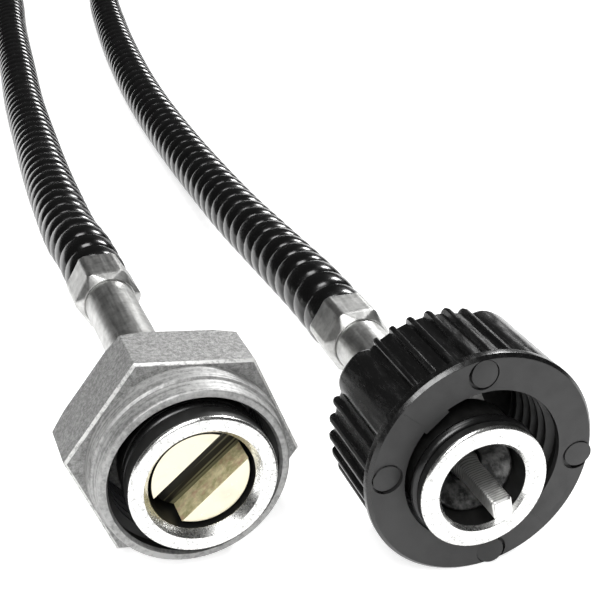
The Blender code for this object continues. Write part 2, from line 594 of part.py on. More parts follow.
CAST_ZINC = finish("cast_zinc", (0.42, 0.42, 0.42), 0.5, 0.8)
PLATED_STEEL = finish("plated_steel", (0.8, 0.8, 0.8), 0.2, 1)
DULL_STEEL = finish("dull_steel", (0.45, 0.45, 0.45), 0.45, 0.9)
CHROMATED_ZINC = finish("chromated_zinc", (0.72, 0.66, 0.48), 0.35, 0.8)
BRONZE = finish("bronze", (0.45, 0.3, 0.15), 0.4, 1)
WOUND_STEEL = finish("wound_steel", (0.5, 0.5, 0.5), 0.35, 1)
RUBBER = finish("rubber", (0.01, 0.01, 0.01), 0.4, 0)
MOULDED_PLASTIC = finish("moulded_plastic", (0.02, 0.02, 0.02), 0.4, 0)
COVER_PLASTIC = finish("cover_plastic", (0.01, 0.01, 0.01), 0.15, 0)

hex_end = empty("hex_end", HEX_FACE)
add_hex_nut(hex_end)
add_slip_washer("hex", hex_end, HEX_NUT_BACK - HEX_NUT_WEB)
hex_outside = ferrule_outside(HEX_FERRULE_RADIUS, HEX_FERRULE_FLANGE, HEX_SEAL_THICKNESS,
                              HEX_FERRULE_COLLAR_STEP, HEX_CHAMBER_DEPTH + HEX_FERRULE_COLLAR_OVERHANG,
                              HEX_FERRULE_HUB_WALL, HEX_FERRULE_BACK)
hex_inside = ferrule_inside(HEX_CHAMBER_RADIUS, HEX_CHAMBER_DEPTH, HEX_FERRULE_WEB, SHANK_RADIUS + GAP,
                            HEX_FERRULE_BACK)
add_ferrule_and_seal("hex", hex_end, hex_outside, hex_inside, HEX_FERRULE_RADIUS, HEX_FERRULE_FLANGE,
                     HEX_SEAL_THICKNESS)
add_driver(hex_end)
add_tube_and_sleeve("hex", hex_end, HEX_CHAMBER_DEPTH + HEX_FERRULE_WEB + GAP, HEX_SLEEVE_FRONT,
                    HEX_SLEEVE_LENGTH)

knurled_end = empty("knurled_end", GRIP_FACE)
add_grip_nut(knurled_end)
add_slip_washer("knurled", knurled_end, GRIP_NUT_BACK - GRIP_NUT_WEB)
grip_outside = ferrule_outside(GRIP_FERRULE_RADIUS, GRIP_FERRULE_FLANGE, GRIP_SEAL_THICKNESS,
                               GRIP_FERRULE_COLLAR_STEP, GRIP_CHAMBER_DEPTH + GRIP_FERRULE_COLLAR_OVERHANG,
                               GRIP_FERRULE_HUB_WALL, GRIP_FERRULE_BACK)
grip_inside = ferrule_inside(GRIP_CHAMBER_RADIUS, GRIP_CHAMBER_DEPTH, GRIP_FERRULE_WEB, CORE_RADIUS + GAP,
                             GRIP_FERRULE_BACK)
add_ferrule_and_seal("knurled", knurled_end, grip_outside, grip_inside, GRIP_FERRULE_RADIUS,
                     GRIP_FERRULE_FLANGE, GRIP_SEAL_THICKNESS)
add_square_tip(knurled_end)
add_tube_and_sleeve("knurled", knurled_end, GRIP_CHAMBER_DEPTH + GRIP_FERRULE_WEB + GAP, GRIP_SLEEVE_FRONT,
                    GRIP_SLEEVE_LENGTH)

add_cable()
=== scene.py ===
"""Looks of a ribbed flexible drive cable with a union fitting on each end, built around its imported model.

Both ends face -Y. Profiles of turned pieces are lists of corners in millimetres: radius, distance behind the
face of that end's ferrule and, where the corner is rounded, its fillet.
"""

import math

import bpy
import numpy as np
from bpy.props import FloatProperty, FloatVectorProperty, IntProperty, PointerProperty
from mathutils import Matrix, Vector


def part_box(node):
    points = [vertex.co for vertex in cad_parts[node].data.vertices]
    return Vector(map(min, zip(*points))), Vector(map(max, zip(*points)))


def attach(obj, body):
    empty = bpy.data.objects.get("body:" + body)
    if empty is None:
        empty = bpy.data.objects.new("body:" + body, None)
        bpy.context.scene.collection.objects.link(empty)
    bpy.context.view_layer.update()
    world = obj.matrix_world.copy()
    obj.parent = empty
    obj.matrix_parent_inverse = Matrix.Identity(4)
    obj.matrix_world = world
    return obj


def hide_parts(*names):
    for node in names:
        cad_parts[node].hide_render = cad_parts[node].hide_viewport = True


bl_info = {
    "name": "Flexible Drive Cable",
    "version": (1, 0, 0),
    "blender": (4, 5, 0),
    "location": "View3D > Sidebar > Drive Cable",
    "description": "Builds the visible pieces, finishes and studio of a ribbed flexible drive cable",
    "category": "Add Mesh",
}

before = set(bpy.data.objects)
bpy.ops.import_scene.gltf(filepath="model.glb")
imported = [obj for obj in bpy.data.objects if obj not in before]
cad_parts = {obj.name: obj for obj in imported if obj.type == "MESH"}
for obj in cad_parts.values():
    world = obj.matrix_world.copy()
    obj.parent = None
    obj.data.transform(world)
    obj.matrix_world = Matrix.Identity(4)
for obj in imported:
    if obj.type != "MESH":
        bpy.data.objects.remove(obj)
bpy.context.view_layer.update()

MM = 0.001
# Corners nearer than this are welded
WELD = 0.000002
FULL_TURN = 2 * math.pi
FINE_SIDES = 128
FILLET_STEPS = 4
# The most of an edge that the fillet at one of its ends takes up
FILLET_SHARE = 0.49
EDGE_STEPS = 2
SMOOTH_ANGLE = math.radians(32)
# Thread tooth: how deep its foot stands in the wall, and half its width at root and crest in pitches
THREAD_FOOT = 0.15 * MM
TOOTH_ROOT, TOOTH_CREST = 0.42, 0.10
THREAD_STEPS = 64
# Distance in millimetres between the turns of the wound core
WINDING_PITCH = 0.32
# Distance between two bands of the wave texture at scale 1
WAVE_PERIOD = math.pi / 10
# How much brighter the floor is to the camera and in mirror-like pieces than by its light alone
FLOOR_LIFT, MIRROR_LIFT = 0.72, 0.72
FINISHES = {}


def linear(code):
    """Linear red, green, blue and alpha of an sRGB hex colour."""
    values = [int(code[k:k + 2], 16) / 255 for k in (1, 3, 5)]
    return [v / 12.92 if v <= 0.04045 else ((v + 0.055) / 1.055) ** 2.4 for v in values] + [1.0]


def front_of(name):
    """The middle of a CAD node's front face."""
    low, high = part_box(name)
    return Vector(((low.x + high.x) / 2, low.y, (low.z + high.z) / 2))


def back_of(name):
    """The middle of a CAD node's back face."""
    low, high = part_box(name)
    return Vector(((low.x + high.x) / 2, high.y, (low.z + high.z) / 2))


# Face of each ferrule, and each nut's axis at that face: the nuts hang a little off their tubes
DRIVER_FACE = front_of("hex_end_ferrule")
TIP_FACE = front_of("knurled_end_ferrule")
HEX_NUT_AXIS = Vector((front_of("hex_nut").x, DRIVER_FACE.y, front_of("hex_nut").z))
GRIP_NUT_AXIS = Vector((front_of("knurled_nut").x, TIP_FACE.y, front_of("knurled_nut").z))
COVER_START = back_of("hex_end_crimp_sleeve")
COVER_STOP = back_of("knurled_end_crimp_sleeve")

# Where the cable lies between its straight ends, in metres: x, y and its lift off lying flat
STRAIGHT_END = 0.009
ROUTE = (
    (-0.0131, 0.048, 0.0069), (-0.0125, 0.062, 0.0059), (-0.0112, 0.082, 0.0042), (-0.0094, 0.105, 0.0026),
    (-0.0073, 0.131, 0.0012), (-0.0043, 0.160, 0.0004), (-0.0004, 0.197, 0), (0.0038, 0.230, 0),
    (0.0052, 0.249, 0), (0.003, 0.267, 0), (-0.003, 0.2835, 0), (-0.0092, 0.2985, 0), (-0.0124, 0.314, 0),
    (-0.0116, 0.331, 0), (-0.0036, 0.3465, 0), (0.010, 0.3573, 0), (0.027, 0.361, 0), (0.044, 0.3573, 0),
    (0.0576, 0.3465, 0), (0.0656, 0.331, 0), (0.0664, 0.314, 0), (0.0615, 0.297, 0), (0.053, 0.280, 0),
    (0.044, 0.263, 0), (0.0363, 0.246, 0), (0.0296, 0.229, 0), (0.0234, 0.191, 0), (0.0189, 0.152, 0.0001),
    (0.0166, 0.125, 0.0005), (0.0152, 0.100, 0.0012), (0.0142, 0.078, 0.0023), (0.0132, 0.055, 0.0040),
    (0.0126, 0.037, 0.0058),
)
SAMPLES_PER_SPAN = 40


def length_value(name, description, default):
    """A size in metres."""
    return FloatProperty(name=name, description=description, default=default, unit="LENGTH")


def angle_value(name, description, degrees):
    """An angle, given in degrees."""
    return FloatProperty(name=name, description=description, default=math.radians(degrees), subtype="ANGLE")


def count_value(name, description, default):
    """A whole number."""
    return IntProperty(name=name, description=description, default=default)


def colour_value(name, description, code):
    """A colour, given as an sRGB hex value."""
    return FloatVectorProperty(name=name, description=description, default=linear(code), size=4,
                               subtype="COLOR")


class DriveCableSizes(bpy.types.PropertyGroup):
    """Sizes that a user would change."""

    across_flats: length_value("Hexagon", "Width of the cast nut across its flats", 0.021)
    nut_turn: angle_value("Hexagon Turn", "How far the cast nut lies turned from flat side up", -8)
    thread_major: length_value("Thread Root", "Radius of both nuts' bores at the thread's root", 0.009)
    thread_minor: length_value("Thread Crest", "Radius of both nuts' bores at the thread's crest", 0.0082)
    thread_pitch: length_value("Thread Pitch", "Distance from turn to turn of both threads", 0.0015)
    grip_lobes: count_value("Grip Lobes", "Broad smooth lobes round the moulded nut", 4)
    grip_ridges: count_value("Ridges", "Fine ridges between two lobes of the moulded nut", 6)
    grip_ridge_height: length_value("Ridge Height", "Height of the moulded nut's ridges", 0.0006)
    slot_width: length_value("Driver Slot", "Width of the slot in the driver", 0.0042)
    slot_turn: angle_value("Slot Turn", "How far the driver's slot lies turned from level", 40)
    tip_square: length_value("Square Tip", "Width of the core's square tip", 0.0020)
    tip_turn: angle_value("Tip Turn", "How far the square tip lies turned from level", 12)
    cover_crest: length_value("Cover Crest", "Radius of the cover on its ribs", 0.0039)
    cover_valley: length_value("Cover Valley", "Radius of the cover between its ribs", 0.0034)
    cover_length: length_value("Cover Length", "Length of the cover along the cable", 0.7395)
    ribs: count_value("Ribs", "Ribs along the whole cover", 200)


class DriveCableColours(bpy.types.PropertyGroup):
    """Colours that a user would change."""

    zinc: colour_value("Cast Zinc", "Grey of the raw cast nut", "#A8A8A7")
    plate: colour_value("Bright Plate", "Zinc plate on the ferrules", "#F3F3F1")
    steel: colour_value("Drawn Steel", "Bare tubes, crimps and washers", "#CDCDCB")
    chromate: colour_value("Chromate", "Pale yellow film on the driver", "#ECE6CC")
    plastic: colour_value("Moulded Plastic", "Black of the grip nut", "#222222")
    vinyl: colour_value("Cover Vinyl", "Black of the cable's cover", "#0C0C0C")
    paper: colour_value("Floor", "Studio floor", "#D8D8D8")


def sizes():
    return bpy.context.scene.drive_cable_sizes


def colours():
    return bpy.context.scene.drive_cable_colours


def per(size):
    """Texture scale that repeats about once in a size in millimetres."""
    return 1 / (size * MM)


def node(tree, kind, inputs=(), **settings):
    """Adds a shader node. Its inputs are values or the sockets that they are linked from."""
    made = tree.nodes.new(kind)
    for key, value in settings.items():
        setattr(made, key, value)
    for key, value in dict(inputs).items():
        if isinstance(value, bpy.types.NodeSocket):
            tree.links.new(value, made.inputs[key])
        else:
            made.inputs[key].default_value = value
    return made


def new_material(name, metallic, roughness):
    """A material with a plain shader, and the object coordinates that its patterns read."""
    made = bpy.data.materials.new(name)
    made.use_nodes = True
    tree = made.node_tree
    shader = tree.nodes["Principled BSDF"]
    shader.inputs["Metallic"].default_value = metallic
    shader.inputs["Roughness"].default_value = roughness
    return made, tree, shader, node(tree, "ShaderNodeTexCoord").outputs["Object"]


# Sockets of the colour mixing node
MIX_FACTOR, MIX_FIRST, MIX_SECOND, MIX_RESULT = 0, 6, 7, 2


def noise(tree, place, grain, detail, **more):
    """Noise with grains of about a size in millimetres."""
    inputs = {"Vector": place, "Scale": per(grain), "Detail": detail, **more}
    return node(tree, "ShaderNodeTexNoise", inputs).outputs["Fac"]


def stretched(tree, place, *scale):
    """Coordinates that draw a pattern out along the axes where the scale is under 1."""
    return node(tree, "ShaderNodeMapping", {"Vector": place, "Scale": scale}).outputs["Vector"]


def spread(tree, value, low, high, to_low=0, to_high=1):
    """A value spread from one range to another."""
    inputs = {"Value": value, "From Min": low, "From Max": high, "To Min": to_low, "To Max": to_high}
    return node(tree, "ShaderNodeMapRange", inputs).outputs["Result"]


def between(tree, factor, first, second):
    """A colour between two others."""
    inputs = {MIX_FACTOR: factor, MIX_FIRST: first, MIX_SECOND: second}
    return node(tree, "ShaderNodeMix", inputs, data_type="RGBA").outputs[MIX_RESULT]


def bump(tree, height, strength, depth):
    """A bump with a depth in millimetres."""
    inputs = {"Height": height, "Strength": strength, "Distance": depth * MM}
    return node(tree, "ShaderNodeBump", inputs).outputs["Normal"]


def tone(base, share):
    """A colour made darker or paler."""
    return [share * value for value in base[:3]] + [1]


def feed(tree, shader, sources):
    """Links the shader's sockets to what they are worked out by."""
    for name, source in sources.items():
        tree.links.new(source, shader.inputs[name])


def die_cast_zinc():
    """Zinc cast under pressure and left raw: a dull grey skin, grainy, with bright and dark specks."""
    made, tree, shader, place = new_material("die_cast_zinc", 0.5, 0.5)
    grain = noise(tree, place, 0.4, 4, Roughness=0.8)
    cloud = noise(tree, place, 4, 2)
    speck = spread(tree, grain, 0.38, 0.62)
    feed(tree, shader, {
        "Base Color": between(tree, speck, tone(colours().zinc, 0.45), colours().zinc),
        "Roughness": spread(tree, cloud, 0.3, 0.7, 0.42, 0.6),
        "Normal": bump(tree, grain, 0.6, 0.15),
    })
    return made


def trimmed_zinc():
    """The cast nut's collar, trimmed in a lathe: paler and smoother than the skin, with fine rings."""
    made, tree, shader, place = new_material("trimmed_zinc", 0.5, 0.5)
    grain = noise(tree, place, 0.5, 3, Roughness=0.7)
    rings = noise(tree, stretched(tree, place, 0.04, 1, 0.04), 0.3, 2)
    both = node(tree, "ShaderNodeMath", {0: grain, 1: rings}, operation="ADD").outputs[0]
    speck = spread(tree, both, 0.8, 1.15)
    feed(tree, shader, {
        "Base Color": between(tree, speck, tone(colours().zinc, 0.55), tone(colours().zinc, 1.15)),
        "Normal": bump(tree, both, 0.25, 0.06),
    })
    return made


def worn_zinc():
    """Painted highlight along the cast nut's front edges: pale zinc, broken by dark nicks."""
    made, tree, shader, place = new_material("worn_zinc", 0.3, 0.4)
    nicks = noise(tree, place, 0.6, 4, Roughness=0.7)
    nicked = spread(tree, nicks, 0.38, 0.5)
    feed(tree, shader, {"Base Color": between(tree, nicked, colours().zinc, linear("#DCDCDA"))})
    return made


def bright_zinc_plate():
    """Turned steel with bright zinc plate: near white and glossy, with the plate's fine pits."""
    made, tree, shader, place = new_material("bright_zinc_plate", 1, 0.25)
    pits = noise(tree, place, 0.3, 3, Roughness=0.65)
    pitted = spread(tree, pits, 0.33, 0.5)
    feed(tree, shader, {
        "Base Color": between(tree, pitted, tone(colours().plate, 0.5), colours().plate),
        "Roughness": spread(tree, pits, 0.3, 0.7, 0.34, 0.2),
        "Normal": bump(tree, pits, 0.12, 0.06),
    })
    return made


def drawn_steel():
    """Bare drawn steel: satin grey, with fine streaks along the tube and dull spots."""
    made, tree, shader, place = new_material("drawn_steel", 1, 0.38)
    streaks = noise(tree, stretched(tree, place, 1, 0.06, 1), 0.3, 3)
    spots = noise(tree, place, 1.2, 4, Roughness=0.65)
    tarnish = spread(tree, spots, 0.3, 0.62)
    feed(tree, shader, {
        "Base Color": between(tree, tarnish, tone(colours().steel, 0.62), colours().steel),
        "Roughness": spread(tree, streaks, 0, 1, 0.26, 0.52),
        "Normal": bump(tree, streaks, 0.15, 0.05),
    })
    return made


def chromated_zinc():
    """Zinc with a thin yellow chromate film: cream white, with faint rosy clouds."""
    made, tree, shader, place = new_material("yellow_chromated_zinc", 0.9, 0.28)
    cloud = noise(tree, place, 2.4, 3, Distortion=0.6)
    rosy = spread(tree, cloud, 0.5, 0.75)
    pits = noise(tree, place, 0.35, 3)
    feed(tree, shader, {
        "Base Color": between(tree, rosy, colours().chromate, linear("#DDD2C0")),
        "Roughness": spread(tree, pits, 0, 1, 0.2, 0.42),
    })
    return made


def thick_chromate():
    """Chromate gathered in the driver's slot: mottled gold, olive and rust, half matt."""
    made, tree, shader, place = new_material("thick_chromate", 0.15, 0.42)
    cloud = noise(tree, place, 1.3, 4, Roughness=0.7)
    tint = noise(tree, place, 0.8, 3)
    gold = spread(tree, cloud, 0.36, 0.64)
    rust = spread(tree, tint, 0.5, 0.72, 0, 0.7)
    warm = between(tree, gold, linear("#A9A478"), linear("#EADFB6"))
    feed(tree, shader, {"Base Color": between(tree, rust, warm, linear("#B8907A"))})
    return made


def oiled_cut():
    """The cut floor of the driver's slot: olive black with fine lines along the cut."""
    made, tree, shader, place = new_material("oiled_cut", 0.3, 0.34)
    inputs = {"Vector": place, "Axis": (0, 1, 0), "Angle": sizes().slot_turn}
    level = node(tree, "ShaderNodeVectorRotate", inputs).outputs["Vector"]
    marks = noise(tree, stretched(tree, level, 0.02, 1, 1), 0.34, 0)
    line = spread(tree, marks, 0.52, 0.66)
    feed(tree, shader, {
        "Base Color": between(tree, line, linear("#12120D"), linear("#77765F")),
        "Normal": bump(tree, marks, 0.3, 0.06),
    })
    return made


def black_grease():
    """Painted shade: near black, uneven and half glossy, put on surfaces deep in bores and between parts
    where shade falls.
    """
    made, tree, shader, place = new_material("black_grease", 0, 0.4)
    smear = noise(tree, place, 0.9, 4)
    feed(tree, shader, {
        "Base Color": between(tree, smear, linear("#0A0A0A"), linear("#232322")),
        "Roughness": spread(tree, smear, 0, 1, 0.25, 0.6),
    })
    return made


def greased_steel():
    """Steel darkened with painted shade for the bush deep in the ferrule: dark grey with paler patches at
    random.
    """
    made, tree, shader, place = new_material("greased_steel", 0.7, 0.4)
    smear = noise(tree, place, 1.4, 5, Roughness=0.7)
    rubbed = spread(tree, smear, 0.4, 0.75)
    feed(tree, shader, {
        "Base Color": between(tree, rubbed, linear("#1E1E1E"), linear("#7A7A79")),
        "Roughness": spread(tree, smear, 0, 1, 0.25, 0.6),
    })
    return made


def sintered_bronze():
    """Pressed and sintered bronze: brown, matt and full of fine pores."""
    made, tree, shader, place = new_material("sintered_bronze", 1, 0.5)
    pores = noise(tree, place, 0.25, 3)
    feed(tree, shader, {"Base Color": between(tree, pores, linear("#6B4A2A"), linear("#A77A4A"))})
    return made


def wound_steel_wire():
    """Steel wire wound in tight turns and swaged: bright crowns with dark lines between the turns."""
    made, tree, shader, place = new_material("wound_steel_wire", 1, 0.34)
    inputs = {"Vector": place, "Scale": per(WINDING_PITCH) * WAVE_PERIOD, "Distortion": 2.5, "Detail": 3}
    turns = node(tree, "ShaderNodeTexWave", inputs, bands_direction="Y").outputs["Fac"]
    line = spread(tree, turns, 0.05, 0.5)
    scuffs = noise(tree, place, 0.5, 4)
    feed(tree, shader, {
        "Base Color": between(tree, line, linear("#A2A2A0"), linear("#D8D8D6")),
        "Roughness": spread(tree, scuffs, 0, 1, 0.22, 0.5),
    })
    return made


def nitrile_rubber():
    """Moulded nitrile rubber, lightly greased: black with soft highlights."""
    made, tree, shader, place = new_material("nitrile_rubber", 0, 0.28)
    shader.inputs["Base Color"].default_value = linear("#0D0D0D")
    skin = noise(tree, place, 0.8, 3)
    feed(tree, shader, {"Roughness": spread(tree, skin, 0, 1, 0.18, 0.4)})
    return made


def polished_polyamide():
    """Black polyamide from the mould's polished sides: glossy, with its colour darkened as painted shade,
    and faint scuffs from handling.
    """
    made, tree, shader, place = new_material("polished_polyamide", 0, 0.2)
    shader.inputs["IOR"].default_value = 1.53
    scuffs = noise(tree, stretched(tree, place, 1, 0.25, 1), 0.7, 5, Roughness=0.7)
    worn = spread(tree, scuffs, 0.5, 0.75)
    feed(tree, shader, {
        "Base Color": between(tree, worn, tone(colours().plastic, 0.35), colours().plastic),
        "Roughness": spread(tree, scuffs, 0.3, 0.7, 0.14, 0.34),
        "Normal": bump(tree, scuffs, 0.15, 0.08),
    })
    return made


def moulded_polyamide():
    """Black polyamide from the mould's spark-eroded face: matt, painted a paler grey than the sides as
    painted light, faintly mottled.
    """
    made, tree, shader, place = new_material("moulded_polyamide", 0, 0.5)
    shader.inputs["IOR"].default_value = 1.53
    mottle = noise(tree, place, 1.6, 5, Roughness=0.65)
    skin = noise(tree, place, 0.22, 3)
    feed(tree, shader, {
        "Base Color": between(tree, mottle, colours().plastic, tone(colours().plastic, 1.5)),
        "Roughness": spread(tree, mottle, 0.3, 0.7, 0.42, 0.6),
        "Normal": bump(tree, skin, 0.1, 0.05),
    })
    return made


def vinyl_cover():
    """Soft black vinyl drawn over wound strip: glossy, with a little dust."""
    made, tree, shader, place = new_material("soft_vinyl", 0, 0.2)
    shader.inputs["IOR"].default_value = 1.52
    dust = noise(tree, place, 2.5, 5, Roughness=0.7)
    dusty = spread(tree, dust, 0.55, 0.8)
    feed(tree, shader, {
        "Base Color": between(tree, dusty, colours().vinyl, tone(colours().vinyl, 2.2)),
        "Roughness": spread(tree, dust, 0.3, 0.7, 0.14, 0.3),
    })
    return made


def paper_floor():
    """White studio paper that a camera or a mirror sees as white, with the soft shadows that fall on it."""
    made, tree, shader = new_material("white_paper", 0, 0.9)[:3]
    shader.inputs["Base Color"].default_value = colours().paper
    shader.inputs["Specular IOR Level"].default_value = 0
    shader.inputs["Emission Color"].default_value = (1, 1, 1, 1)
    path = node(tree, "ShaderNodeLightPath").outputs
    seen = node(tree, "ShaderNodeMath", {0: path["Is Camera Ray"], 1: FLOOR_LIFT}, operation="MULTIPLY")
    lift = node(tree, "ShaderNodeMath", {0: path["Is Glossy Ray"], 1: MIRROR_LIFT, 2: seen.outputs[0]},
                operation="MULTIPLY_ADD")
    feed(tree, shader, {"Emission Strength": lift.outputs[0]})
    return made


def finish_of(make):
    """The material that a function makes, made once."""
    if make not in FINISHES:
        FINISHES[make] = make()
    return FINISHES[make]


def pick(piece):
    """Makes a piece the only selected object."""
    bpy.ops.object.select_all(action="DESELECT")
    piece.select_set(True)
    bpy.context.view_layer.objects.active = piece


def edit(piece):
    """Opens a piece in edit mode with all of it selected."""
    pick(piece)
    bpy.ops.object.mode_set(mode="EDIT")
    bpy.ops.mesh.select_all(action="SELECT")


def rounded(corners):
    """A closed outline through corners, each with the fillet that it names."""
    points = []
    for k, (u, v, *fillet) in enumerate(corners):
        here = Vector((u, v))
        if not fillet:
            points.append(here)
            continue
        before = Vector(corners[k - 1][:2]) - here
        after = Vector(corners[(k + 1) % len(corners)][:2]) - here
        reach = fillet[0] / math.tan(before.angle(after) / 2)
        reach = min(reach, FILLET_SHARE * before.length, FILLET_SHARE * after.length)
        first, last = here + before.normalized() * reach, here + after.normalized() * reach
        for step in range(FILLET_STEPS + 1):
            s = step / FILLET_STEPS
            points.append(first * (1 - s) ** 2 + here * 2 * s * (1 - s) + last * s ** 2)
    return points


def outline(name, points, fill="NOTHING"):
    """A circle whose corners are moved to the points of an outline."""
    bpy.ops.object.select_all(action="DESELECT")
    bpy.ops.mesh.primitive_circle_add(vertices=len(points), fill_type=fill)
    wire = bpy.context.active_object
    wire.name = wire.data.name = name
    for corner, point in zip(wire.data.vertices, points):
        corner.co = point
    return wire


def close_up():
    """Welds the selected mesh in edit mode, drops what hangs loose, turns its faces outwards and leaves."""
    bpy.ops.mesh.select_all(action="SELECT")
    bpy.ops.mesh.remove_doubles(threshold=WELD)
    bpy.ops.mesh.select_all(action="SELECT")
    bpy.ops.mesh.delete_loose()
    bpy.ops.mesh.select_all(action="SELECT")
    bpy.ops.mesh.normals_make_consistent(inside=False)
    bpy.ops.object.mode_set(mode="OBJECT")


def turned(name, corners, axis, sides=FINE_SIDES):
    """Spins an outline about a line along Y, as on a lathe."""
    points = [(axis.x + u * MM, axis.y + v * MM, axis.z) for u, v in rounded(corners)]
    piece = outline(name, points)
    edit(piece)
    bpy.ops.mesh.spin(steps=sides, angle=FULL_TURN, center=axis, axis=(0, 1, 0))
    close_up()
    return piece


def drawn_out(name, points, axis, front, *rows):
    """Extrudes an outline of (x, z) points back along Y, in rows of (distance behind the face, scale)."""
    piece = outline(name, [(axis.x + x, axis.y + front * MM, axis.z + z) for x, z in points], "NGON")
    edit(piece)
    at = front
    for back, scale in rows:
        bpy.ops.mesh.extrude_region_move(TRANSFORM_OT_translate={"value": (0, (back - at) * MM, 0)})
        if scale != 1:
            bpy.ops.transform.resize(value=(scale, 1, scale), center_override=axis)
        at = back
    close_up()
    return piece


def combine(piece, operation, tool):
    """Cuts, joins or trims a piece with a tool that is used up."""
    change = piece.modifiers.new(tool.name, "BOOLEAN")
    change.operation = operation
    change.object = tool
    pick(piece)
    bpy.ops.object.modifier_apply(modifier=change.name)
    bpy.data.objects.remove(tool)
    edit(piece)
    close_up()


def bore_out(piece, bore, *standing):
    """Bores a piece, round what is left standing in the bore."""
    for kept in standing:
        combine(bore, "DIFFERENCE", kept)
    combine(piece, "DIFFERENCE", bore)


def bar(name, shape, turn, axis, front, back):
    """A flat bar at an angle round an axis. Its shape is its near end, its far end and half its width."""
    near, far, half = shape
    corners = ((near, -half), (far, -half), (far, half), (near, half))
    along, across = math.cos(turn), math.sin(turn)
    points = [((u * along - v * across) * MM, (u * across + v * along) * MM) for u, v in corners]
    return drawn_out(name, points, axis, front, (back, 1))


def break_edges(piece, width, angle):
    """Rounds the edges of a piece that are sharper than an angle."""
    bevel = piece.modifiers.new("edges", "BEVEL")
    bevel.width = width
    bevel.segments = EDGE_STEPS
    bevel.angle_limit = angle
    pick(piece)
    bpy.ops.object.modifier_apply(modifier=bevel.name)


def finish(piece, make, body, slot, *nodes):
    """Shades a piece, puts it on its body and hides the CAD nodes that it stands for."""
    pick(piece)
    bpy.ops.object.shade_smooth_by_angle(angle=SMOOTH_ANGLE)
    flat = piece.modifiers.new("flat_faces", "WEIGHTED_NORMAL")
    flat.keep_sharp = True
    bpy.ops.object.modifier_apply(modifier=flat.name)
    piece.data.materials.clear()
    piece.data.materials.append(finish_of(make))
    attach(piece, body)
    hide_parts(*nodes)


def coat(piece, make, axis, chosen):
    """Gives a further finish to faces picked by radius, distance behind the ferrule's face and normal."""
    piece.data.materials.append(finish_of(make))
    for face in piece.data.polygons:
        spot = (face.center - axis) / MM
        if chosen(math.hypot(spot.x, spot.z), spot.y, face.normal):
            face.material_index = len(piece.data.materials) - 1


def thread_ridge(name, axis, start, turns):
    """A right-hand screw ridge with its foot in the wall of a nut's bore."""
    root, crest, pitch = sizes().thread_major + THREAD_FOOT, sizes().thread_minor, sizes().thread_pitch
    tooth = [(root, -TOOTH_ROOT), (root, TOOTH_ROOT), (crest, TOOTH_CREST), (crest, -TOOTH_CREST)]
    ridge = outline(name, [(-radius, share * pitch, 0) for radius, share in tooth])
    ridge.location = axis + Vector((0, start * MM, 0))
    helix = ridge.modifiers.new("helix", "SCREW")
    helix.axis = "Y"
    helix.screw_offset = pitch
    helix.iterations = turns
    helix.steps = helix.render_steps = THREAD_STEPS
    pick(ridge)
    bpy.ops.object.modifier_apply(modifier=helix.name)
    bpy.ops.object.transform_apply(location=True, rotation=True, scale=True)
    edit(ridge)
    bpy.ops.mesh.fill_holes(sides=0)
    close_up()
    return ridge


